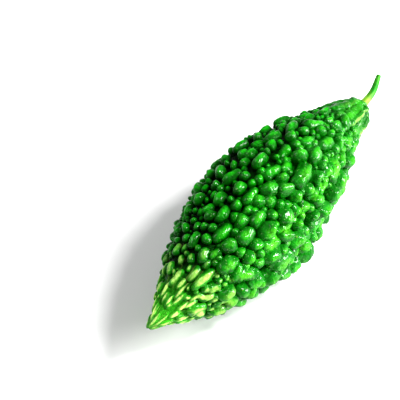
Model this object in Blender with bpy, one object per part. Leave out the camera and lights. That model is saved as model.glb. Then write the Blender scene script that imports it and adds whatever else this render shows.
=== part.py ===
"""Bitter gourd: one knobbly fruit and its short dried-off stalk, lying on a table.

The fruit lies along X with its blossom tip at -X and its stalk end at +X.  Z is up and
the table is the plane Z = 0.  The origin is on the table, under the middle of the box
that holds the fruit and the stalk.  Everything is in metres.
"""
import math

import bmesh
import bpy
import numpy as np
from mathutils import Matrix, Vector

# Driving dimensions of the fruit
FRUIT_LENGTH = 0.170         # blossom tip to stalk seat
BELLY_RADIUS = 0.0278        # spine to the tops of the lumps at the widest place
TIP_TAPER = 1.07             # how fast the fruit swells from the tip
NECK_TAPER = 1.19            # how fast it closes towards the stalk
SHOULDER_RADIUS = 0.0050     # what is left of the girth at the stalk end
SHOULDER_POWER = 8           # how close to the stalk end the shoulder swells
SIDE_BOW = 0.0061            # sideways bow of the spine at its middle
TIP_HOOK = 0.0086            # extra sideways turn of the last third at the tip
HOOK_START = 0.35            # share of the length from the tip where that turn starts
TIP_DROOP = 0.0012           # how far the tip hangs below the middle of the spine
DROOP_START = 0.5            # share of the length from the tip where the droop starts
SPINE_HEIGHT = 0.0254        # height of the spine over the table, lumps pressed flat
SEAT_RADIUS = 0.0026         # flat end that the stalk grows from

# The ridges and the lumps on them
RIDGES = 9
FIRST_RIDGE = math.radians(-70.0)    # two ridges straddle the underside and carry the fruit
RIDGE_SWELL = 0.03                   # part of the girth that a ridge stands out
LUMP_SHARE = 0.16                    # part of the girth that a lump stands out
LUMP_TOP = 0.66                      # size of a lump's shoulder beside its foot
DOME_SHARE = 0.20                    # part of a lump's height that is its domed top
END_CROWDING = 0.4                   # how much shorter the lumps get towards the ends
LUMP_SPACING = 0.155                 # angle between lumps, seen from the globe's middle
LUMP_TRIES = 9000
SEED = 11
FOOT_PLACES = (0.35, 0.43, 0.51, 0.59)    # a lump here on each lower ridge

# Driving dimensions of the stalk
STALK_LENGTH = 0.018
STALK_FOOT_RADIUS = 0.0020
STALK_NECK_RADIUS = 0.00115
STALK_CUT_RADIUS = 0.00065
STALK_FLARE = 0.0016         # length over which the foot thins
STALK_RISE = 0.18            # climb of the stalk for each metre along X
STALK_SIDE = 0.08            # sideways run for each metre along X
STALK_CURL = 0.0009          # upward curl of the cut end
STALK_RINGS = 14
RING_BUNCHING = 1.4          # above 1, the rings stand closer together at the foot
STALK_SIDES = 12
SEAT_GAP = 0.0003            # clearance between stalk and fruit

# Finishes
GOURD_GREEN = (0.03, 0.28, 0.02)
GOURD_ROUGHNESS = 0.35
STALK_GREEN = (0.20, 0.36, 0.05)
STALK_ROUGHNESS = 0.55
SHARP_EDGE = math.radians(50.0)    # edges that fold more than this are shaded sharp

WIDEST = TIP_TAPER / (TIP_TAPER + NECK_TAPER)


def girth(s):
    """Mean radius to the lump tops at s, from 0 at the tip to 1 at the stalk seat."""
    swell = (s / WIDEST) ** TIP_TAPER
    close = ((1.0 - s) / (1.0 - WIDEST)) ** NECK_TAPER
    return BELLY_RADIUS * swell * close + SHOULDER_RADIUS * s ** SHOULDER_POWER


def spine(s):
    """Centre line of the fruit, with its sideways bow, tip hook and droop."""
    hook = max(HOOK_START - s, 0.0) ** 2 / HOOK_START ** 2
    droop = max(DROOP_START - s, 0.0) ** 2 / DROOP_START ** 2
    x = (s - 0.5) * FRUIT_LENGTH
    y = SIDE_BOW * (1.0 - (2.0 * s - 1.0) ** 2) + TIP_HOOK * hook
    return Vector((x, y, SPINE_HEIGHT - TIP_DROOP * droop))


def on_globe(share, angle):
    """Point of a unit globe at a share of the way from its -Z pole to its +Z pole."""
    polar = math.pi * share
    flat = math.sin(polar)
    return Vector((flat * math.cos(angle), flat * math.sin(angle), -math.cos(polar)))


def from_globe(point):
    """Place s, angle on the fruit of a point on the unit globe, whose -Z pole is the tip."""
    polar = math.acos(max(-1.0, min(1.0, -point.z)))
    s = (1.0 - END_CROWDING) * polar / math.pi + END_CROWDING * (1.0 - math.cos(polar)) / 2.0
    return s, math.atan2(point.y, point.x)


def flesh_point(point):
    """Point of the flesh between the lumps that belongs to a point on the globe."""
    s, angle = from_globe(point)
    ridge = 1.0 + RIDGE_SWELL * math.cos(RIDGES * (angle - FIRST_RIDGE))
    reach = girth(s) * ridge * (1.0 - LUMP_SHARE)
    centre = spine(s)
    return centre + Vector((0.0, reach * math.cos(angle), reach * math.sin(angle)))


def strew_lumps():
    """Middles of the lumps on the globe: both poles, the feet, then wherever there is room."""
    feet = [FIRST_RIDGE, FIRST_RIDGE - 2.0 * math.pi / RIDGES]
    middles = [on_globe(0.0, 0.0), on_globe(1.0, 0.0)]
    middles += [on_globe(share, angle) for angle in feet for share in FOOT_PLACES]
    rng = np.random.default_rng(SEED)
    for candidate in rng.normal(size=(LUMP_TRIES, 3)):
        point = Vector(candidate).normalized()
        nearest = np.array(middles) @ np.array(point)
        if nearest.max() < math.cos(LUMP_SPACING):
            middles.append(point)
    return middles


def ring_of_faces(vert):
    """Faces round a vertex of the globe, in order, anticlockwise from outside."""
    out = vert.co.normalized()
    side = out.orthogonal().normalized()
    up = out.cross(side)

    def bearing(face):
        arm = face.calc_center_median() - vert.co
        return math.atan2(arm.dot(up), arm.dot(side))

    return sorted(vert.link_faces, key=bearing)


def lay_cells(bm):
    """Divide the flesh into one cell for each lump; gives the cells and their lumps' places."""
    globe = bmesh.new()
    for point in strew_lumps():
        globe.verts.new(point)
    bmesh.ops.convex_hull(globe, input=globe.verts[:])
    valleys = {}
    for face in globe.faces:
        valleys[face] = bm.verts.new(flesh_point(face.calc_center_median().normalized()))
    cells = []
    for vert in globe.verts:
        corners = [valleys[face] for face in ring_of_faces(vert)]
        cells.append((bm.faces.new(corners), from_globe(vert.co)[0]))
    globe.free()
    return cells


def raise_lump(bm, cell, height):
    """Draw a cell out into a lump with sloping sides and a domed top."""
    out = cell.normal.copy()
    top = bmesh.ops.extrude_discrete_faces(bm, faces=[cell])["faces"][0]
    middle = top.calc_center_median()
    for vert in top.verts:
        vert.co = middle + (vert.co - middle) * LUMP_TOP + out * height * (1.0 - DOME_SHARE)
    bmesh.ops.poke(bm, faces=[top], offset=height * DOME_SHARE)


def shape_ends(bm, tip_cell, seat_cell):
    """Point the blossom tip and square off the seat of the stalk."""
    point = bmesh.ops.poke(bm, faces=[tip_cell])["verts"][0]
    point.co = spine(0.0)
    seat = spine(1.0)
    for vert in seat_cell.verts:
        arm = vert.co - seat
        arm.x = 0.0
        vert.co = seat + arm.normalized() * SEAT_RADIUS


def build_fruit():
    """The whole fruit as one solid, one lump for each cell of its skin."""
    bm = bmesh.new()
    (tip_cell, _), (seat_cell, _), *cells = lay_cells(bm)
    shape_ends(bm, tip_cell, seat_cell)
    bm.normal_update()
    for cell, s in cells:
        raise_lump(bm, cell, girth(s) * LUMP_SHARE)
    for vert in bm.verts:
        vert.co.z = max(vert.co.z, 0.0)       # lumps that meet the table are pressed flat
    bmesh.ops.triangulate(bm, faces=bm.faces[:])
    return add_object("fruit", bm, plain_material("gourd_skin", GOURD_GREEN, GOURD_ROUGHNESS))


def stalk_centre(t):
    """Centre line of the stalk, t from 0 at its foot to 1 at its cut end."""
    run = STALK_LENGTH / math.sqrt(1.0 + STALK_RISE ** 2 + STALK_SIDE ** 2) * t
    foot = spine(1.0) + Vector((SEAT_GAP, 0.0, 0.0))
    return foot + Vector((run, STALK_SIDE * run, STALK_RISE * run + STALK_CURL * t ** 2))


def stalk_radius(t):
    """Radius of the stalk: a flared foot that thins to the cut end."""
    flare = math.exp(-t * STALK_LENGTH / STALK_FLARE)
    plain = STALK_NECK_RADIUS + (STALK_CUT_RADIUS - STALK_NECK_RADIUS) * t
    return plain + (STALK_FOOT_RADIUS - STALK_NECK_RADIUS) * flare


def build_stalk():
    """The stalk as a tube of rings along its centre line, closed at both ends."""
    bm = bmesh.new()
    rings = []
    for i in range(STALK_RINGS):
        t = (i / (STALK_RINGS - 1)) ** RING_BUNCHING
        made = bmesh.ops.create_circle(bm, segments=STALK_SIDES, radius=stalk_radius(t))
        for vert in made["verts"]:
            vert.co = stalk_centre(t) + Vector((0.0, vert.co.x, vert.co.y))
        rings.append(made["verts"])
    for low, high in zip(rings, rings[1:]):
        for j in range(STALK_SIDES):
            bm.faces.new((low[j - 1], low[j], high[j], high[j - 1]))
    bm.faces.new(rings[0])
    bm.faces.new(rings[-1])
    bmesh.ops.recalc_face_normals(bm, faces=bm.faces[:])
    return add_object("stalk", bm, plain_material("stalk_green", STALK_GREEN, STALK_ROUGHNESS))


def plain_material(name, color, roughness):
    """A Principled material of one colour."""
    material = bpy.data.materials.new(name)
    material.use_nodes = True
    shader = material.node_tree.nodes["Principled BSDF"]
    shader.inputs["Base Color"].default_value = (*color, 1.0)
    shader.inputs["Roughness"].default_value = roughness
    shader.inputs["Metallic"].default_value = 0.0
    return material


def add_object(name, bm, material):
    """Turn a bmesh into a smooth-shaded object in the scene."""
    mesh = bpy.data.meshes.new(name)
    bm.to_mesh(mesh)
    bm.free()
    mesh.materials.append(material)
    mesh.shade_smooth()
    mesh.set_sharp_from_angle(angle=SHARP_EDGE)
    part = bpy.data.objects.new(name, mesh)
    bpy.context.scene.collection.objects.link(part)
    return part


def centre_on_table(parts):
    """Slide all parts sideways so that the origin is under the middle of their box."""
    corners = [vert.co for part in parts for vert in part.data.vertices]
    middle_x = (min(c.x for c in corners) + max(c.x for c in corners)) / 2.0
    middle_y = (min(c.y for c in corners) + max(c.y for c in corners)) / 2.0
    for part in parts:
        part.data.transform(Matrix.Translation((-middle_x, -middle_y, 0.0)))


def main():
    for leftover in list(bpy.data.objects):
        bpy.data.objects.remove(leftover, do_unlink=True)
    centre_on_table([build_fruit(), build_stalk()])


main()
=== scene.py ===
import math

import bmesh
import bpy
import numpy as np
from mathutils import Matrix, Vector
from mathutils.kdtree import KDTree


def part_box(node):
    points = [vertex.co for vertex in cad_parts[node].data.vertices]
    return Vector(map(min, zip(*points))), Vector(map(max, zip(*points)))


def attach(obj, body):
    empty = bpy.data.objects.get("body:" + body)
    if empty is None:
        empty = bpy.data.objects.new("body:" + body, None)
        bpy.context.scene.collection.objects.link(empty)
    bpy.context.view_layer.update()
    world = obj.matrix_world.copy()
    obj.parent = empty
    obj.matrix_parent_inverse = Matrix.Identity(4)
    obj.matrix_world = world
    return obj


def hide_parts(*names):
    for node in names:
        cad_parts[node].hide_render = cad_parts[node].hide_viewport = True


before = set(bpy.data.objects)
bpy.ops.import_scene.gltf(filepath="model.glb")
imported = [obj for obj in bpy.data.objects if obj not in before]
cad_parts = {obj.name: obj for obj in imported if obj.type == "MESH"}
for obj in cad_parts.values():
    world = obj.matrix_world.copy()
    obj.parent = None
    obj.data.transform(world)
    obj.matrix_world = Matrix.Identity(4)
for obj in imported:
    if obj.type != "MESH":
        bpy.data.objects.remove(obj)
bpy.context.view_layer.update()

# where things are, from the frame
fruitLow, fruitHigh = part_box("fruit")
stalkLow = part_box("stalk")[0]
stalkFoot = 0.0020    # radius of the stalk's foot, whose box corner gives the seat
seat = Vector((fruitHigh.x, stalkLow.y + stalkFoot, stalkLow.z + stalkFoot))
fruitLength = fruitHigh.x - fruitLow.x

gourd = {
    "tipTaper": 1.07,       # how fast the fruit swells from the tip
    "neckTaper": 1.19,      # how fast it closes towards the stalk
    "belly": 0.0278,        # spine to the lump tops at the widest place
    "shoulder": 0.0050,     # girth left at the stalk end
    "shoulderPower": 8,     # how close to the stalk end the shoulder swells
    "ridges": 9,
    "firstRidge": math.radians(-70),
    "ridgeSwell": 0.03,
    "lumpShare": 0.19,      # part of the girth that a lump stands out
    "nearHollow": 0.12,     # how much slimmer the flesh is where the tall lumps of the near side stand
    "nose": 0.0008,         # radius of the blunt tip
    "sideBow": 0.0061,
    "tipHook": 0.0086,
    "hookStart": 0.35,      # share of the length from the tip where the hook starts
    "tipDroop": 0.0012,
    "droopStart": 0.5,
    "neckStart": 0.78,      # share of the length where the lumps begin to lie lower
    "neckSpan": 0.12,
    "neckCalm": 0.55,
}
# turns round the fruit: 0 is towards +Y, a quarter turn is up
# the second turn here is where the skin colour is painted darkest, as painted shade
farSide, paintedShadeSide = math.radians(60), math.radians(30)
nearSide, nearUnderside = math.radians(180), math.radians(190)
ribSide, hollowSide = math.radians(200), math.radians(205)
widest = gourd["tipTaper"] / (gourd["tipTaper"] + gourd["neckTaper"])


def girth(s):    # radius to the lump tops, s from 0 at the tip to 1 at the seat
    swell = (np.clip(s, 0, 1) / widest) ** gourd["tipTaper"]
    close = (np.clip(1 - s, 0, 1) / (1 - widest)) ** gourd["neckTaper"]
    return gourd["belly"] * swell * close + gourd["shoulder"] * s ** gourd["shoulderPower"]


def spine(s):    # middle line of the fruit
    s = np.asarray(s, float)
    hook = np.clip(gourd["hookStart"] - s, 0, 1) ** 2 / gourd["hookStart"] ** 2
    droop = np.clip(gourd["droopStart"] - s, 0, 1) ** 2 / gourd["droopStart"] ** 2
    x = seat.x - (1 - s) * fruitLength
    y = seat.y + gourd["sideBow"] * (1 - (2 * s - 1) ** 2) + gourd["tipHook"] * hook
    z = seat.z - gourd["tipDroop"] * droop
    return np.stack([x, y, z], -1)


def lumpRoom(s):    # how far the flesh lies below the lump tops
    calm = gourd["neckCalm"] * np.clip((s - gourd["neckStart"]) / gourd["neckSpan"], 0, 1)
    return girth(s) * gourd["lumpShare"] * (1 - calm)


def fleshReach(s, angle):    # radius of the flesh between the lumps
    ridge = 1 + gourd["ridgeSwell"] * np.cos(gourd["ridges"] * (angle - gourd["firstRidge"]))
    hollow = 1 - gourd["nearHollow"] * np.clip(np.cos(angle - hollowSide), 0, 1)
    reach = (girth(s) * ridge - lumpRoom(s)) * hollow
    fromTip = s * fruitLength
    nose = np.sqrt(np.clip(gourd["nose"] ** 2 - (fromTip - gourd["nose"]) ** 2, 0, None))
    return np.where(fromTip < 2 * gourd["nose"], np.maximum(reach, nose), reach)


def fleshPoint(s, angle):
    reach = fleshReach(s, angle)
    return spine(s) + np.stack([0 * reach, reach * np.cos(angle), reach * np.sin(angle)], -1)


def newTree(name, kind, ins, outs):
    tree = bpy.data.node_groups.new(name, kind)
    for socketName, socketKind, start in ins:
        socket = tree.interface.new_socket(socketName, in_out="INPUT",
                                           socket_type="NodeSocket" + socketKind)
        if start is not None:
            socket.default_value = start
    for socketName, socketKind in outs:
        tree.interface.new_socket(socketName, in_out="OUTPUT", socket_type="NodeSocket" + socketKind)
    return tree, tree.nodes.new("NodeGroupInput"), tree.nodes.new("NodeGroupOutput")


def addNode(tree, kind, inputs=None, **settings):
    made = tree.nodes.new(kind)
    for name, value in settings.items():
        setattr(made, name, value)
    for name, value in (inputs or {}).items():
        socket = made.inputs[name]
        if isinstance(value, bpy.types.NodeSocket):
            tree.links.new(value, socket)
        else:
            socket.default_value = value
    return made


def calc(tree, operation, *values):
    return addNode(tree, "ShaderNodeMath", dict(enumerate(values)), operation=operation).outputs[0]


def vectorCalc(tree, operation, *values, **named):
    inputs = dict(enumerate(values))
    inputs.update(named)
    return addNode(tree, "ShaderNodeVectorMath", inputs, operation=operation).outputs["Vector"]


def setInput(modifier, name, value):    # by the socket's identifier
    for item in modifier.node_group.interface.items_tree:
        if item.item_type == "SOCKET" and item.in_out == "INPUT" and item.name == name:
            modifier[item.identifier] = value


def settle(thing):    # the evaluated shape as a plain mesh, modifiers gone
    evaluated = thing.evaluated_get(bpy.context.evaluated_depsgraph_get())
    mesh = bpy.data.meshes.new_from_object(evaluated)
    thing.modifiers.clear()
    thing.data = mesh


def newObject(name, mesh):
    made = bpy.data.objects.new(name, mesh)
    bpy.context.scene.collection.objects.link(made)
    return made


lumps = {
    "seed": 7,
    "bigRows": 6,                          # rows of the biggest lumps, over the side that shows most
    "firstBigRow": math.radians(80),
    "rowGap": math.radians(25),
    "bigReach": (0.12, 0.76),              # where the rows start and end, as shares of the length
    "bigPitch": 0.08,
    "bigHalfWidth": (0.0019, 0.0027),
    "bigSlimness": (1.5, 2.6),             # how many times longer than wide
    "firstRib": math.radians(-64),
    "ribHalf": (0.0180, 0.0010),
    "tintReach": 0.006,                    # a lump tints nothing further than this over or under it
}
beadKinds, ridgeKinds, nearKinds = (0, 0, 0, 1, 2, 3, 4), (1, 2, 3, 4, 0), (4, 2, 0, 0, 1)
blade, flank = 5, 6


class LumpLayout:    # the largest lumps go first, and each keeps clear of the earlier ones
    def __init__(self, rng):
        self.rng = rng
        self.placed = np.zeros((0, 7))    # s, angle, half length, half width, turn, kind, height factor

    def tryLump(self, s, angle, halfLength, halfWidth, turn, kind, crowding, lift=1):
        if len(self.placed):
            along = (s - self.placed[:, 0]) * fruitLength
            apart = (angle - self.placed[:, 1] + math.pi) % (2 * math.pi) - math.pi
            around = apart * girth((s + self.placed[:, 0]) / 2)
            reach = np.hypot(along / (halfLength + self.placed[:, 2]),
                             around / (halfWidth + self.placed[:, 3]))
            if reach.min() < crowding * self.roomAt(angle):
                return False
        self.placed = np.vstack([self.placed, [s, angle, halfLength, halfWidth, turn, kind, lift]])
        return True

    def roomAt(self, angle):    # knobs stand further apart on the far upper side
        far, near = math.cos(angle - farSide), math.cos(angle - nearSide)
        return 1 + 0.32 * max(0, far) - 0.03 * max(0, near)

    def pickKind(self, angle, kinds):    # leaning lumps on the near side
        near = math.cos(angle - nearSide)
        return self.rng.choice(nearKinds if self.rng.random() < 1.4 * near else kinds)

    # lumps turn small and slim towards the ends, and are broader on the near side
    def sized(self, s, angle, halfWidth, slimness):
        fullness = float(girth(s)) / gourd["belly"]
        halfWidth = halfWidth * (1 + 0.18 * math.cos(angle - nearUnderside))
        width = halfWidth * (0.28 + 0.72 * fullness ** 0.8)
        stretch = (1 + 1.2 * (1 - fullness) ** 2) * (0.45 + 0.55 * fullness ** 0.7)
        return halfWidth * slimness * stretch, width

    def layRibs(self):    # smooth ribs that run up to the stalk, short and low on the far upper side
        for k in range(gourd["ridges"]):
            angle = lumps["firstRib"] + 2 * math.pi * k / gourd["ridges"] + self.rng.normal(0, 0.03)
            length, width = lumps["ribHalf"]
            far = math.cos(angle - farSide) > 0.5
            length = length * (0.70 if far else 1.0)
            place = 1 - length / fruitLength + self.rng.normal(0, 0.004)
            lift = 0.6 if far else 1 + 0.7 * max(0, math.cos(angle - ribSide))
            self.tryLump(place, angle, length, width, -0.07, blade, 0, lift)

    def layBigRows(self):    # the biggest lumps, staggered from row to row
        low, high = lumps["bigReach"]
        for row in range(lumps["bigRows"]):
            turned = row * lumps["rowGap"]
            for s in np.arange(low + row % 2 * lumps["bigPitch"] / 2, high, lumps["bigPitch"]):
                s = s + self.rng.normal(0, 0.012)
                angle = lumps["firstBigRow"] + turned + self.rng.normal(0, 0.09)
                size = self.sized(s, angle, self.rng.uniform(*lumps["bigHalfWidth"]),
                                  self.rng.uniform(*lumps["bigSlimness"]))
                self.tryLump(s, angle, *size, self.rng.normal(-0.15, 0.25),
                             self.pickKind(angle, ridgeKinds), 0.9)

    def layFlanks(self):    # broad low slopes beside the ribs
        for s, angle, length, width, turn, kind, lift in self.placed.copy():
            if kind == blade and s > 0.8:
                self.tryLump(s - 0.015, angle - 0.23, 0.8 * length, 2.3 * width, 0, flank, 0)

    def layBlades(self, low, high, tries, widths, slims, crowding):    # slim ridges near the tip
        for _ in range(tries):
            s = self.rng.uniform(low, high)
            width = self.rng.uniform(*widths)
            length = width * self.rng.uniform(*slims)
            angle = self.rng.uniform(-math.pi, math.pi)
            self.tryLump(s, angle, length, width, self.rng.normal(0, 0.08), blade,
                         crowding / self.roomAt(angle))

    def layRidgeLumps(self, count):    # more lumps, in rows along the ridges
        made = 0
        for _ in range(1400):
            if made >= count:
                break
            s = self.rng.uniform(0.13, 0.86)
            angle = gourd["firstRidge"] + 2 * math.pi * self.rng.integers(gourd["ridges"]) / gourd["ridges"]
            size = self.sized(s, angle, self.rng.uniform(0.0021, 0.0027), self.rng.uniform(1.5, 2.5))
            made += self.tryLump(s, angle + self.rng.normal(0, 0.06), *size, self.rng.normal(0, 0.2),
                                 self.pickKind(angle, ridgeKinds), 1.0)

    def layBeads(self, widths, slims, tries, crowding):    # rounder lumps wherever there is room
        for _ in range(tries):
            s = self.rng.uniform(0.06, 0.965)
            angle = self.rng.uniform(-math.pi, math.pi)
            if widths[1] < 0.0015 and self.rng.random() < -0.8 * math.cos(angle):
                continue    # few small beads on the near side
            size = self.sized(s, angle, self.rng.uniform(*widths), self.rng.uniform(*slims))
            self.tryLump(s, angle, *size, self.rng.normal(0, 0.4), self.pickKind(angle, beadKinds),
                         crowding)

    def layAll(self):
        self.layBigRows()
        self.layRibs()
        self.layBlades(0.012, 0.045, 500, (0.00060, 0.00075), (5.0, 7.0), 1.20)
        self.layBlades(0.045, 0.13, 500, (0.0007, 0.0011), (2.8, 4.2), 1.10)
        self.layRidgeLumps(36)
        self.layBeads((0.0020, 0.0025), (1.0, 1.7), 3000, 0.94)
        self.layBeads((0.0015, 0.0020), (0.9, 1.6), 6000, 0.92)
        self.layBeads((0.0010, 0.0014), (0.9, 1.4), 7000, 0.90)
        self.layBeads((0.0006, 0.0009), (0.9, 1.3), 7000, 0.94)
        self.layFlanks()
        return self.placed


def lumpFrames(placed, rng):    # where each lump stands, which way it faces and how big it is
    s, angle, halfLength, halfWidth, turn, kind, lift = placed.T
    step = 1e-3
    tangent = fleshPoint(np.clip(s + step, 0, 1), angle) - fleshPoint(np.clip(s - step, 0, 1), angle)
    around = fleshPoint(s, angle + step) - fleshPoint(s, angle - step)
    tangent /= np.linalg.norm(tangent, axis=1)[:, None]
    outward = np.cross(around, tangent)
    outward /= np.linalg.norm(outward, axis=1)[:, None]
    outward *= np.sign(np.einsum("ij,ij->i", outward, fleshPoint(s, angle) - spine(s)))[:, None]
    across = np.cross(outward, tangent)
    along = tangent * np.cos(turn)[:, None] + across * np.sin(turn)[:, None]
    fullness = girth(s) / gourd["belly"]
    fullWidth = 0.0024 * (0.28 + 0.72 * fullness ** 0.8)
    height = lumpRoom(s) * (0.42 + 0.58 * np.clip(halfWidth / fullWidth, 0, 1.3))
    height *= rng.uniform(0.80, 1.20, len(s))
    height *= lift * (1 + 0.42 * np.clip(np.cos(angle - nearUnderside), 0, 1))
    height = np.where((kind == blade) & (s > 0.8), 0.0015 * lift, np.maximum(height, 0.0013))
    height = np.where(kind == flank, 0.0010, height)
    halfHeight = np.maximum(0.60 * height, np.minimum(halfWidth, 0.85 * height))
    centre = fleshPoint(s, angle) + outward * (height - halfHeight)[:, None]
    return centre, outward, along, np.stack([halfLength, halfWidth, halfHeight], -1)


layout = LumpLayout(np.random.default_rng(lumps["seed"])).layAll()
centres, outwards, alongs, sizes = lumpFrames(layout, np.random.default_rng(lumps["seed"] + 1))
print("lumps laid:", len(layout))


def makeFlesh():    # the body between the lumps, from a globe drawn out along the spine
    bm = bmesh.new()
    bmesh.ops.create_uvsphere(bm, u_segments=120, v_segments=200, radius=1)
    for vert in bm.verts:
        polar = math.acos(max(-1, min(1, -vert.co.z)))
        s = 0.6 * polar / math.pi + 0.4 * (1 - math.cos(polar)) / 2
        if math.hypot(vert.co.x, vert.co.y) < 1e-6:
            vert.co = Vector(spine(s))
        else:
            vert.co = Vector(fleshPoint(s, math.atan2(vert.co.y, vert.co.x)))
    mesh = bpy.data.meshes.new("flesh")
    bm.to_mesh(mesh)
    bm.free()
    return newObject("flesh", mesh)


def makeLumpPoints():    # one loose point for each lump, with what the nodes need to know
    mesh = bpy.data.meshes.new("fruit_skin")
    mesh.from_pydata(centres.tolist(), [], [])
    for name, values in (("outward", outwards), ("along", alongs), ("size", sizes)):
        mesh.attributes.new(name, "FLOAT_VECTOR", "POINT").data.foreach_set("vector",
                values.astype(np.float32).ravel())
    mesh.attributes.new("kind", "INT", "POINT").data.foreach_set("value", layout[:, 5].astype(np.int32))
    return newObject("fruit_skin", mesh)


lumpKinds = (    # what differs from a plain rounded block
    {"Roundness": 0.85, "Taper": 0.10, "Keel": 0.20},                   # bead
    {"Roundness": 0.75, "Curl": 0.35, "Waist": 0.08, "Keel": 0.40},     # bean
    {"Roundness": 0.80, "Taper": -0.40, "Keel": 0.45},                  # drop
    {"Roundness": 0.75, "Waist": 0.22, "Taper": 0.12, "Keel": 0.30},    # peanut
    {"Roundness": 0.75, "Lean": 0.35, "Taper": 0.25, "Keel": 0.45},     # thumb
    {"Roundness": 1.00, "Point": 0.30, "Keel": 0.40},     # blade
    {"Roundness": 0.90, "Taper": -0.25, "Keel": 0.20},    # flank
)


def makeLumpShape():
    ins = [(name, "Float", start) for name,
           start in (("Roundness", 0.85), ("Taper", 0.0), ("Waist", 0.0), ("Point", 0.0), ("Keel", 0.0),
           ("Curl", 0.0), ("Lean", 0.0))]
    tree, given, result = newTree("lump shape", "GeometryNodeTree", ins, [("Geometry", "Geometry")])
    cube = addNode(tree, "GeometryNodeMeshCube",
                   {"Size": (2, 2, 2), "Vertices X": 5, "Vertices Y": 5, "Vertices Z": 5})
    place = addNode(tree, "GeometryNodeInputPosition").outputs[0]
    ball = vectorCalc(tree, "NORMALIZE", place)
    block = vectorCalc(tree, "SCALE", place, Scale=0.8)
    rounded = addNode(tree, "ShaderNodeMix", {"Factor": given.outputs["Roundness"], 4: block, 5: ball},
                      data_type="VECTOR").outputs[1]
    parts = addNode(tree, "ShaderNodeSeparateXYZ", {0: rounded})
    x, y, z = parts.outputs
    xSquared = calc(tree, "MULTIPLY", x, x)
    middle = calc(tree, "SUBTRACT", 1.0, xSquared)
    width = calc(tree, "MULTIPLY_ADD", given.outputs["Taper"], x, 1.0)
    width = calc(tree, "SUBTRACT", width, calc(tree, "MULTIPLY", given.outputs["Waist"], middle))
    width = calc(tree, "SUBTRACT", width, calc(tree, "MULTIPLY", given.outputs["Point"], xSquared))
    bent = calc(tree, "MULTIPLY", given.outputs["Curl"], calc(tree, "SUBTRACT", xSquared, 0.4))
    newY = calc(tree, "MULTIPLY_ADD", y, width, bent)
    newX = calc(tree, "MULTIPLY_ADD", calc(tree, "MAXIMUM", z, 0.0), given.outputs["Lean"], x)
    slope = calc(tree, "MULTIPLY", calc(tree, "ABSOLUTE", y), given.outputs["Keel"])
    newZ = calc(tree, "MULTIPLY", z, calc(tree, "SUBTRACT", 1.0, slope))
    moved = addNode(tree, "ShaderNodeCombineXYZ", {0: newX, 1: newY, 2: newZ}).outputs[0]
    shaped = addNode(tree, "GeometryNodeSetPosition",
                     {"Geometry": cube.outputs["Mesh"], "Position": moved})
    tree.links.new(shaped.outputs[0], result.inputs[0])
    return tree


def attribute(tree, name, kind):
    return addNode(tree, "GeometryNodeInputNamedAttribute", {"Name": name},
                   data_type=kind).outputs["Attribute"]


def makeGrowLumps():    # sets a lump on each point, makes them uneven and joins the flesh
    ins = [("Geometry", "Geometry", None), ("Flesh", "Object", None), ("Wobble", "Float", 0.5),
           ("Wobble Size", "Float", 200.0), ("Material", "Material", None)]
    tree, given, result = newTree("grow lumps", "GeometryNodeTree", ins, [("Geometry", "Geometry")])
    lumpShape = makeLumpShape()
    facing = addNode(tree, "FunctionNodeAxesToRotation",
                     {0: attribute(tree, "outward", "FLOAT_VECTOR"),
                     1: attribute(tree, "along", "FLOAT_VECTOR")})
    joined = addNode(tree, "GeometryNodeJoinGeometry")
    for number, values in enumerate(lumpKinds):
        shape = addNode(tree, "GeometryNodeGroup", None, node_tree=lumpShape)
        for name, value in values.items():
            shape.inputs[name].default_value = value
        chosen = addNode(tree, "FunctionNodeCompare", {2: attribute(tree, "kind", "INT"), 3: number},
                         data_type="INT", operation="EQUAL")
        grown = addNode(tree, "GeometryNodeInstanceOnPoints", {
            "Points": given.outputs["Geometry"], "Selection": chosen.outputs[0],
            "Instance": shape.outputs[0],
            "Rotation": facing.outputs[0], "Scale": attribute(tree, "size", "FLOAT_VECTOR")})
        tree.links.new(grown.outputs[0], joined.inputs[0])
    real = addNode(tree, "GeometryNodeRealizeInstances", {0: joined.outputs[0]})
    noise = addNode(tree, "ShaderNodeTexNoise", {"Scale": given.outputs["Wobble Size"], "Detail": 2.0})
    swing = vectorCalc(tree, "SUBTRACT", noise.outputs["Color"], (0.5, 0.5, 0.5))
    halfWidth = addNode(tree, "ShaderNodeSeparateXYZ",
                        {0: attribute(tree, "size", "FLOAT_VECTOR")}).outputs["Y"]
    shift = vectorCalc(tree, "SCALE", swing,
                       Scale=calc(tree, "MULTIPLY", halfWidth, given.outputs["Wobble"]))
    uneven = addNode(tree, "GeometryNodeSetPosition", {"Geometry": real.outputs[0], "Offset": shift})
    flesh = addNode(tree, "GeometryNodeObjectInfo", {"Object": given.outputs["Flesh"]})
    whole = addNode(tree, "GeometryNodeJoinGeometry", {0: uneven.outputs[0]})
    tree.links.new(flesh.outputs["Geometry"], whole.inputs[0])
    real = addNode(tree, "GeometryNodeRealizeInstances", {0: whole.outputs[0]})
    coated = addNode(tree, "GeometryNodeSetMaterial",
                     {"Geometry": real.outputs[0], "Material": given.outputs["Material"]})
    tree.links.new(coated.outputs[0], result.inputs[0])
    return tree


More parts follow.
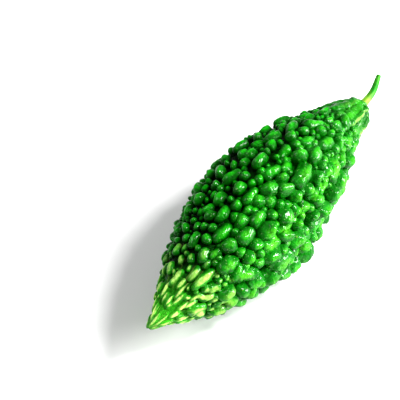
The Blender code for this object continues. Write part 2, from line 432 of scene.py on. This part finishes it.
def makeWrinkleSkin():    # shallow dents and creases over the joined skin
    ins = [("Geometry", "Geometry", None), ("Dent Depth", "Float", 0.0005),
           ("Dent Size", "Float", 300.0),
           ("Crease Depth", "Float", 0.0002), ("Crease Size", "Float", 600.0), ("Tip", "Float", 0.0),
           ("Material", "Material", None)]
    tree, given, result = newTree("wrinkle skin", "GeometryNodeTree", ins, [("Geometry", "Geometry")])
    dents = addNode(tree, "ShaderNodeTexNoise", {"Scale": given.outputs["Dent Size"], "Detail": 1.0})
    creases = addNode(tree, "ShaderNodeTexNoise",
                      {"Scale": given.outputs["Crease Size"], "Detail": 2.0},
                      noise_type="RIDGED_MULTIFRACTAL", normalize=True)
    dentHeight = calc(tree, "MULTIPLY", calc(tree, "SUBTRACT", dents.outputs[0], 0.5),
                      given.outputs["Dent Depth"])
    creaseHeight = calc(tree, "MULTIPLY", calc(tree, "SUBTRACT", 0.5, creases.outputs[0]),
                        given.outputs["Crease Depth"])
    side = addNode(tree, "ShaderNodeSeparateXYZ",
                   {0: addNode(tree, "GeometryNodeInputPosition").outputs[0]}).outputs["Y"]
    crumpled = addNode(tree, "ShaderNodeMapRange",
                       {"Value": side, "From Min": 0.012, "From Max": -0.012, "To Min": 0.35,
                       "To Max": 1.8})
    lengthways = addNode(tree, "ShaderNodeSeparateXYZ",
                         {0: addNode(tree, "GeometryNodeInputPosition").outputs[0]}).outputs["X"]
    fromTip = addNode(tree, "ShaderNodeMapRange",
                      {"Value": lengthways, "From Min": given.outputs["Tip"],
                      "From Max": calc(tree, "ADD", given.outputs["Tip"], 0.035), "To Min": 0.1})
    crumpled = calc(tree, "MULTIPLY", crumpled.outputs[0], fromTip.outputs[0])
    height = calc(tree, "MULTIPLY", calc(tree, "ADD", dentHeight, creaseHeight), crumpled)
    outward = addNode(tree, "GeometryNodeInputNormal").outputs[0]
    shift = vectorCalc(tree, "SCALE", outward, Scale=height)
    moved = addNode(tree, "GeometryNodeSetPosition",
                    {"Geometry": given.outputs["Geometry"], "Offset": shift})
    real = addNode(tree, "GeometryNodeRealizeInstances", {0: moved.outputs[0]})
    coated = addNode(tree, "GeometryNodeSetMaterial",
                     {"Geometry": real.outputs[0], "Material": given.outputs["Material"]})
    tree.links.new(coated.outputs[0], result.inputs[0])
    return tree


skin = {
    "wobble": 0.80, "wobbleSize": 260.0,    # lumps are pushed about by this share of their width
    "voxel": 0.00034, "smoothing": 1,
    "dentDepth": 0.0011, "dentSize": 280.0, "creaseDepth": 0.0012, "creaseSize": 240.0,
    "mostTriangles": 194000,
    "crinkleSize": 380.0, "fleckSize": 700.0,
    "ior": 1.15, "coatIor": 2.1, "coatRoughness": 0.11,
    # painted shade: the near-black colour of the gaps and lump rims
    "paintedCreviceShade": (0.0, 0.006, 0.0, 1),
    # the gap colour on the near side and at the ends, where less shade is painted
    "lowland": (0.001, 0.24, 0.001, 1),
    "body": (0.001, 0.18, 0.0005, 1),
    "paintedLitNearBody": (0.003, 0.195, 0.003, 1),
    "young": (0.030, 0.36, 0.008, 1),
    # painted light: the lighter colours of the lump tops, the second one for the near side
    "paintedLitCrown": (0.006, 0.36, 0.001, 1),
    "paintedLitNearCrown": (0.060, 0.41, 0.012, 1),
    # painted highlight: the yellow-green of crinkle crests on the near side
    "crest": (0.24, 0.68, 0.04, 1),
    # on the neck: the first colour is painted shade for the hollows, the third is painted light on the near
    # flank
    "neckPaintedShade": (0.0005, 0.055, 0.003, 1),
    "neckHigh": (0.004, 0.12, 0.003, 1),
    "neckPaintedLitFlank": (0.018, 0.24, 0.005, 1),
    "pale": (0.62, 0.94, 0.19, 1),
    # pale specks on the lump tops: partly the skin's own specks, partly painted glints
    "fleck": (0.30, 0.66, 0.18, 1),
}


def makeLivingSkin():    # blotches, fine grain and pores, shared by the fruit and the stalk
    ins = [("Colour", "Color", (0.1, 0.4, 0.05, 1)), ("Blotch Size", "Float", 130.0),
           ("Grain Size", "Float", 900.0), ("Strength", "Float", 0.3)]
    outs = [("Colour", "Color"), ("Roughness", "Float"), ("Height", "Float")]
    tree, given, result = newTree("living skin", "ShaderNodeTree", ins, outs)
    place = addNode(tree, "ShaderNodeTexCoord").outputs["Object"]
    blotch = addNode(tree, "ShaderNodeTexNoise",
                     {"Vector": place, "Scale": given.outputs["Blotch Size"], "Detail": 3.0}).outputs[0]
    grain = addNode(tree, "ShaderNodeTexNoise",
                    {"Vector": place, "Scale": given.outputs["Grain Size"], "Detail": 2.0}).outputs[0]
    both = calc(tree, "ADD", calc(tree, "MULTIPLY", blotch, 0.5), calc(tree, "MULTIPLY", grain, 0.5))
    swing = calc(tree, "MULTIPLY", calc(tree, "SUBTRACT", both, 0.5), 4.0)
    shade = calc(tree, "MULTIPLY_ADD", swing, given.outputs["Strength"], 1.0)
    tinted = vectorCalc(tree, "SCALE", given.outputs["Colour"], Scale=shade)
    rough = calc(tree, "MULTIPLY_ADD", grain, 0.35, 0.20)
    for socket, value in zip(result.inputs, (tinted, rough, both)):
        tree.links.new(value, socket)
    return tree


def blend(tree, factor, first, second):
    mixed = addNode(tree, "ShaderNodeMix", {0: factor, 6: first, 7: second}, data_type="RGBA")
    return mixed.outputs[2]


def ease(tree, value, start, end):
    made = addNode(tree, "ShaderNodeMapRange", {"Value": value, "From Min": start, "From Max": end},
                   interpolation_type="SMOOTHSTEP")
    return made.outputs[0]


livingSkin = makeLivingSkin()


def skinMaterial():
    material = bpy.data.materials.new("gourd_skin")
    material.use_nodes = True
    tree = material.node_tree
    shader = tree.nodes["Principled BSDF"]
    marks = ("rise", "edge", "tone", "pale", "ends", "near", "neck")
    rise, edge, tone, pale, ends, near, neck = [addNode(tree, "ShaderNodeAttribute",
            attribute_name=name).outputs["Fac"] for name in marks]
    # painted light: lump tops are painted lighter than the body, by an amount that varies from lump to lump
    onTop = calc(tree, "MULTIPLY", ease(tree, rise, 0.45, 1.05), ease(tree, edge, 0.90, 0.25))
    paintedTopLight = calc(tree, "MULTIPLY", onTop, calc(tree, "MULTIPLY_ADD", tone, 0.30, 0.70))
    # the body colour between lumps is painted a little lighter on the near lower side, as painted light,
    # and is paler and yellower towards the tip
    between = blend(tree, ends, blend(tree, near, skin["body"], skin["paintedLitNearBody"]), skin["young"])
    # painted shade in the gaps between lumps: near black on the far upper side, green on the near side and
    # at the tip
    paintedGapShade = blend(tree, calc(tree, "MAXIMUM", calc(tree, "MULTIPLY", ends, 0.8),
            calc(tree, "MULTIPLY", near, 0.8)), skin["paintedCreviceShade"],
            blend(tree, ends, skin["lowland"], skin["young"]))
    colour = blend(tree, ease(tree, rise, 0.24, 0.66), paintedGapShade, between)
    colour = blend(tree, paintedTopLight, colour, blend(tree, near, skin["paintedLitCrown"], skin["paintedLitNearCrown"]))
    # on the neck, hollows are painted darker than the raised parts, as painted shade, and a band of the
    # near flank is painted lighter, as painted light
    paintedLitFlankBand = calc(tree, "MULTIPLY", ease(tree, near, 0.10, 0.30), ease(tree, near, 0.85, 0.60))
    neckColour = blend(tree, ease(tree, rise, 0.0, 0.7), skin["neckPaintedShade"], skin["neckHigh"])
    neckColour = blend(tree, calc(tree, "MULTIPLY", paintedLitFlankBand, 0.62), neckColour, skin["neckPaintedLitFlank"])
    colour = blend(tree, neck, colour, neckColour)
    # painted shade: each lump's rim darkens towards the near-black gap colour, less on the near side and
    # not at the ends
    rim = calc(tree, "MULTIPLY", ease(tree, edge, 0.62, 1.02),
               calc(tree, "SUBTRACT", 1.0, calc(tree, "MAXIMUM", ends, neck)))
    rimShadeDepth = calc(tree, "MULTIPLY_ADD", near, -0.20, 0.50)
    colour = blend(tree, calc(tree, "MULTIPLY", rim, rimShadeDepth), colour, skin["paintedCreviceShade"])
    # painted highlight: yellow-green lines along the crinkle crests on the near side; the crinkles also
    # make real bumps
    crinkles = addNode(tree, "ShaderNodeTexNoise",
                       {"Vector": addNode(tree, "ShaderNodeTexCoord").outputs["Object"],
                       "Scale": skin["crinkleSize"], "Detail": 3.0}, noise_type="RIDGED_MULTIFRACTAL",
                       normalize=True).outputs[0]
    crinkle = calc(tree, "MULTIPLY", ease(tree, crinkles, 0.30, 0.72),
                   calc(tree, "MULTIPLY", near, ease(tree, rise, 0.3, 0.9)))
    colour = blend(tree, calc(tree, "MULTIPLY", crinkle, 0.50), colour, skin["crest"])
    streakPlace = vectorCalc(tree, "MULTIPLY",
            addNode(tree, "ShaderNodeAttribute", attribute_name="lengthwise").outputs["Vector"],
            (14.0, 5.0, 5.0))
    streak = addNode(tree, "ShaderNodeTexNoise",
                     {"Vector": streakPlace, "Scale": 1.6, "Detail": 3.0}).outputs[0]
    crest = calc(tree, "ADD", ease(tree, edge, 1.05, 0.0),
                 calc(tree, "MULTIPLY", calc(tree, "SUBTRACT", streak, 0.5), 1.6))
    colour = blend(tree, calc(tree, "MULTIPLY", pale, ease(tree, crest, 0.05, 0.65)), colour,
                   skin["pale"])
    # pale specks on the lump tops, partly the skin's own specks and partly painted glints
    flecks = addNode(tree, "ShaderNodeTexVoronoi",
                     {"Vector": addNode(tree, "ShaderNodeTexCoord").outputs["Object"],
                     "Scale": skin["fleckSize"]})
    fleck = calc(tree, "MULTIPLY", ease(tree, flecks.outputs["Distance"], 0.22, 0.10),
                 ease(tree, rise, 0.5, 1.0))
    colour = blend(tree, calc(tree, "MULTIPLY", fleck, 0.42), colour, skin["fleck"])
    living = addNode(tree, "ShaderNodeGroup", None, node_tree=livingSkin)
    tree.links.new(colour, living.inputs["Colour"])
    living.inputs["Strength"].default_value = 0.65
    relief = calc(tree, "ADD", living.outputs["Height"],
                  calc(tree, "MULTIPLY", calc(tree, "MULTIPLY", streak, ends), 1.5))
    relief = calc(tree, "ADD", relief, calc(tree, "MULTIPLY", crinkle, 0.8))
    bump = addNode(tree, "ShaderNodeBump", {"Height": relief, "Distance": 0.0012, "Strength": 0.9})
    tree.links.new(living.outputs["Colour"], shader.inputs["Base Color"])
    tree.links.new(living.outputs["Roughness"], shader.inputs["Roughness"])
    tree.links.new(bump.outputs[0], shader.inputs["Normal"])
    gloss = calc(tree, "MULTIPLY", ease(tree, rise, 0.50, 1.00),
                 calc(tree, "MULTIPLY_ADD", neck, -0.06, 0.14))
    gloss = calc(tree, "MULTIPLY", gloss, calc(tree, "MULTIPLY_ADD", near, -0.25, 1.0))
    tree.links.new(gloss, shader.inputs["Coat Weight"])
    shader.inputs["IOR"].default_value = skin["ior"]
    shader.inputs["Specular Tint"].default_value = (0.30, 1.0, 0.30, 1)
    shader.inputs["Coat IOR"].default_value = skin["coatIor"]
    shader.inputs["Coat Roughness"].default_value = skin["coatRoughness"]
    return material


def makeSkin(material):
    flesh = makeFlesh()
    piece = makeLumpPoints()
    grow = piece.modifiers.new("grow lumps", "NODES")
    grow.node_group = makeGrowLumps()
    setInput(grow, "Flesh", flesh)
    setInput(grow, "Wobble", skin["wobble"])
    setInput(grow, "Wobble Size", skin["wobbleSize"])
    setInput(grow, "Material", material)
    fuse = piece.modifiers.new("fuse", "REMESH")
    fuse.mode = "VOXEL"
    fuse.voxel_size = skin["voxel"]
    soften = piece.modifiers.new("soften", "SMOOTH")
    soften.factor = 0.5
    soften.iterations = skin["smoothing"]
    wrinkle = piece.modifiers.new("wrinkle", "NODES")
    wrinkle.node_group = makeWrinkleSkin()
    setInput(wrinkle, "Dent Depth", skin["dentDepth"])
    setInput(wrinkle, "Dent Size", skin["dentSize"])
    setInput(wrinkle, "Crease Depth", skin["creaseDepth"])
    setInput(wrinkle, "Crease Size", skin["creaseSize"])
    setInput(wrinkle, "Tip", float(spine(0)[0]))
    setInput(wrinkle, "Material", material)
    settle(piece)
    print("skin fused:", len(piece.data.polygons), "faces")
    thin = piece.modifiers.new("thin", "DECIMATE")
    thin.ratio = min(1, skin["mostTriangles"] / (2 * len(piece.data.polygons)))
    settle(piece)
    bpy.data.objects.remove(flesh)
    print("skin thinned:", len(piece.data.polygons), "faces")
    return piece


def readPoints(mesh):
    flat = np.empty(len(mesh.vertices) * 3, np.float32)
    mesh.vertices.foreach_get("co", flat)
    return flat.reshape(-1, 3).astype(float)


def settleShape(piece):    # lumps that meet the table lie flat on it
    points = readPoints(piece.data)
    s = np.clip((points[:, 0] - spine(0)[0]) / fruitLength, 0, 1)
    drawIn = 1 - 0.72 * np.clip((s - 0.955) / 0.045, 0,
                                1) ** 2.5    # the shoulder closes round the stalk
    middle = spine(s)
    points[:, 1:] = middle[:, 1:] + (points - middle)[:, 1:] * drawIn[:, None]
    points[:, 2] = np.maximum(points[:, 2], 0)
    piece.data.vertices.foreach_set("co", points.astype(np.float32).ravel())
    piece.data.update()


def markSkin(piece):    # how high each point stands, and the tint of the lump it belongs to
    points = readPoints(piece.data)
    s = np.clip((points[:, 0] - spine(0)[0]) / fruitLength, 0, 1)
    arm = (points - spine(s))[:, 1:]
    angle = np.arctan2(arm[:, 1], arm[:, 0])
    reach = np.hypot(arm[:, 0], arm[:, 1])
    rise = (reach - fleshReach(s, angle)) / (lumpRoom(s) + 0.0002)
    finder = KDTree(len(centres))
    for number, centre in enumerate(centres):
        finder.insert(centre, number)
    finder.balance()
    near = np.array([[found[1] for found in finder.find_n(point, 5)] for point in points])
    spread = spreadFrom(points[:, None], near)
    best = spread.argmin(1)
    owner, edge = near[np.arange(len(points)), best], spread.min(1)
    # long lumps reach past their neighbours' middles
    for number in np.flatnonzero(layout[:, 2] > 2.2 * layout[:, 3]):
        reached = spreadFrom(points, number)
        closer = reached < edge
        owner[closer], edge[closer] = number, reached[closer]
    rng = np.random.default_rng(lumps["seed"] + 2)
    tone = rng.uniform(-1, 1, len(centres))
    atTip = np.clip((0.21 - layout[:, 0]) / 0.12, 0, 1) * rng.uniform(0.6, 1.0, len(centres))
    # the pale crest of the neck ribs is partly their own colour and partly painted light, since it shows
    # only on the near side
    atRib = np.where((layout[:, 5] == blade) & (layout[:, 0] > 0.8), 0.35 * paintedLightShare(layout[:, 1]), 0)
    lengthwise = piece.data.attributes.new("lengthwise", "FLOAT_VECTOR", "POINT")
    lengthwise.data.foreach_set("vector",
            np.stack([s, np.cos(angle), np.sin(angle)], -1).astype(np.float32).ravel())
    mark(piece.data, "rise", np.clip(rise, 0, 1.3))
    mark(piece.data, "edge", np.clip(edge, 0, 2))
    mark(piece.data, "tone", tone[owner])
    mark(piece.data, "pale", np.maximum(atTip, atRib)[owner])
    # painted light and shade by side: the near lower side gets lighter colours and greener gaps, the far
    # upper side darker ones
    mark(piece.data, "near", paintedLightShare(angle))
    mark(piece.data, "ends", np.clip((0.17 - s) / 0.12, 0, 1))
    mark(piece.data, "neck", np.clip((s - 0.82) / 0.10, 0, 1))


def paintedLightShare(angle):    # painted light and shade by side: 0 on the far upper side, painted darker, 1 on the near lower side, painted lighter
    return np.clip(0.5 - 0.9 * np.cos(angle - paintedShadeSide), 0, 1)


def spreadFrom(points, number):    # 0 on a lump's middle line, 1 at its rim
    offset = points - centres[number]
    across = np.cross(outwards[number], alongs[number])
    over = np.abs((offset * outwards[number]).sum(-1)) / lumps["tintReach"]
    flat = np.hypot((offset * alongs[number]).sum(-1) / sizes[number, 0],
                    (offset * across).sum(-1) / sizes[number, 1])
    return np.where(over < 1, flat, 9)


def mark(mesh, name, values):
    mesh.attributes.new(name, "FLOAT", "POINT").data.foreach_set("value", values.astype(np.float32))


skinPiece = makeSkin(skinMaterial())
settleShape(skinPiece)
skinPiece.data.shade_smooth()
markSkin(skinPiece)
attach(skinPiece, "root")
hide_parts("fruit")
print("skin done")


stalk = {
    "way": ((-0.0010, 0, 0), (0.0045, -0.0008, 0.0012), (0.0100, -0.0008, 0.0020),
            (0.0140, 0.0004, 0.0034), (0.0178, 0.0010, 0.0050)),
    "radii": (0.00190, 0.00160, 0.00150, 0.00135, 0.00100),
    "grooves": 5, "grooveDepth": 0.10,
    "dark": (0.006, 0.19, 0.006, 1),
    "light": (0.34, 0.68, 0.04, 1),
}


def makeRibbedTube():    # a grooved tube round a curve
    ins = [("Geometry", "Geometry", None), ("Grooves", "Float", 5.0), ("Groove Depth", "Float", 0.1),
           ("Rings", "Int", 60), ("Sides", "Int", 30), ("Material", "Material", None)]
    tree, given, result = newTree("ribbed tube", "GeometryNodeTree", ins, [("Geometry", "Geometry")])
    fine = addNode(tree, "GeometryNodeResampleCurve",
                   {"Curve": given.outputs["Geometry"], "Count": given.outputs["Rings"]})
    ring = addNode(tree, "GeometryNodeCurvePrimitiveCircle",
                   {"Resolution": given.outputs["Sides"], "Radius": 1.0})
    turn = calc(tree, "MULTIPLY", addNode(tree, "GeometryNodeSplineParameter").outputs["Factor"],
                2 * math.pi)
    wave = calc(tree, "COSINE", calc(tree, "MULTIPLY", turn, given.outputs["Grooves"]))
    swell = calc(tree, "MULTIPLY_ADD", wave, given.outputs["Groove Depth"], 1.0)
    ribbed = vectorCalc(tree, "SCALE", addNode(tree, "GeometryNodeInputPosition").outputs[0],
                        Scale=swell)
    ring = addNode(tree, "GeometryNodeSetPosition", {"Geometry": ring.outputs[0], "Position": ribbed})
    radius = addNode(tree, "GeometryNodeInputRadius").outputs[0]
    tube = addNode(tree, "GeometryNodeCurveToMesh",
                   {"Curve": fine.outputs[0], "Profile Curve": ring.outputs[0], "Scale": radius,
                   "Fill Caps": True})
    real = addNode(tree, "GeometryNodeRealizeInstances", {0: tube.outputs[0]})
    coated = addNode(tree, "GeometryNodeSetMaterial",
                     {"Geometry": real.outputs[0], "Material": given.outputs["Material"]})
    tree.links.new(coated.outputs[0], result.inputs[0])
    return tree


def stalkMaterial():
    material = bpy.data.materials.new("stalk_green")
    material.use_nodes = True
    tree = material.node_tree
    shader = tree.nodes["Principled BSDF"]
    place = addNode(tree, "ShaderNodeTexCoord").outputs["Object"]
    height = addNode(tree, "ShaderNodeSeparateXYZ", {0: place}).outputs["X"]
    fromSeat = ease(tree, height, seat.x + 0.007, seat.x + 0.001)
    stretched = vectorCalc(tree, "MULTIPLY", place, (0.15, 1.0, 1.0))
    streak = addNode(tree, "ShaderNodeTexNoise",
                     {"Vector": stretched, "Scale": 1500.0, "Detail": 2.0}).outputs[0]
    yellow = calc(tree, "MULTIPLY_ADD", fromSeat, 0.55,
                  calc(tree, "MULTIPLY", ease(tree, streak, 0.45, 0.75), 0.22))
    colour = blend(tree, yellow, stalk["dark"], stalk["light"])
    living = addNode(tree, "ShaderNodeGroup", None, node_tree=livingSkin)
    tree.links.new(colour, living.inputs["Colour"])
    living.inputs["Blotch Size"].default_value = 300.0
    living.inputs["Grain Size"].default_value = 2000.0
    living.inputs["Strength"].default_value = 0.25
    bump = addNode(tree, "ShaderNodeBump",
                   {"Height": calc(tree, "ADD", living.outputs["Height"], streak), "Distance": 0.0002,
                   "Strength": 0.6})
    tree.links.new(living.outputs["Colour"], shader.inputs["Base Color"])
    tree.links.new(living.outputs["Roughness"], shader.inputs["Roughness"])
    tree.links.new(bump.outputs[0], shader.inputs["Normal"])
    shader.inputs["IOR"].default_value = 1.30
    shader.inputs["Specular Tint"].default_value = (0.30, 1.0, 0.30, 1)
    return material


def makeStalk():
    data = bpy.data.curves.new("stalk_stem", "CURVE")
    data.dimensions = "3D"
    line = data.splines.new("NURBS")
    line.points.add(len(stalk["way"]) - 1)
    for point, place, radius in zip(line.points, stalk["way"], stalk["radii"]):
        point.co = (*(seat + Vector(place)), 1)
        point.radius = radius
    line.use_endpoint_u = True
    line.order_u = 4
    data.resolution_u = 24
    return newObject("stalk_stem", data)


def buildStalk():
    source = makeStalk()
    tube = source.modifiers.new("ribbed tube", "NODES")
    tube.node_group = makeRibbedTube()
    setInput(tube, "Grooves", float(stalk["grooves"]))
    setInput(tube, "Groove Depth", stalk["grooveDepth"])
    setInput(tube, "Material", stalkMaterial())
    evaluated = source.evaluated_get(bpy.context.evaluated_depsgraph_get())
    mesh = bpy.data.meshes.new_from_object(evaluated)
    bpy.data.objects.remove(source)
    piece = newObject("stalk_stem", mesh)
    mesh.shade_smooth()
    return piece


stalkPiece = buildStalk()
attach(stalkPiece, "root")
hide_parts("stalk")
print("stalk done")


studio = {
    "azimuth": -58.68, "elevation": 41.53, "distance": 0.6, "lens": 126.9,
    "aimFromSeat": (-0.0987, 0.0284, 0.0024),
}


def addCamera():
    azimuth, elevation = math.radians(studio["azimuth"]), math.radians(studio["elevation"])
    back = Vector((math.sin(azimuth) * math.cos(elevation), -math.cos(azimuth) * math.cos(elevation),
                   math.sin(elevation)))
    data = bpy.data.cameras.new("camera")
    data.sensor_width = 36
    data.lens = studio["lens"]
    camera = newObject("camera", data)
    camera.location = seat + Vector(studio["aimFromSeat"]) + back * studio["distance"]
    camera.rotation_euler = (-back).to_track_quat("-Z", "Y").to_euler()
    bpy.context.scene.camera = camera


def addLamp(name, place, size, power):    # a round lamp that points at the gourd
    data = bpy.data.lights.new(name, "AREA")
    data.shape = "DISK"
    data.size = size
    data.energy = power
    lamp = newObject(name, data)
    lamp.location = place
    lamp.rotation_euler = (Vector((0, 0, 0.02)) - Vector(place)).to_track_quat("-Z", "Y").to_euler()


def addFloor():
    bm = bmesh.new()
    bmesh.ops.create_grid(bm, x_segments=1, y_segments=1, size=3)
    mesh = bpy.data.meshes.new("floor")
    bm.to_mesh(mesh)
    bm.free()
    floor = newObject("floor", mesh)
    material = bpy.data.materials.new("floor")
    material.use_nodes = True
    shader = material.node_tree.nodes["Principled BSDF"]
    shader.inputs["Base Color"].default_value = (0.92, 0.92, 0.92, 1)
    shader.inputs["Roughness"].default_value = 0.9
    mesh.materials.append(material)


def addWorld():
    world = bpy.data.worlds.new("studio")
    bpy.context.scene.world = world
    world.use_nodes = True
    world.node_tree.nodes["Background"].inputs[0].default_value = (1, 1, 1, 1)
    world.node_tree.nodes["Background"].inputs[1].default_value = 0.33


addCamera()
addFloor()
addWorld()
addLamp("key", (0.20, -0.55, 0.78), 0.24, 11)
addLamp("side", (0.50, -0.80, 0.34), 0.40, 20)
addLamp("back", (-0.30, 0.50, 0.80), 0.50, 3)
bpy.context.scene.view_settings.view_transform = "Standard"
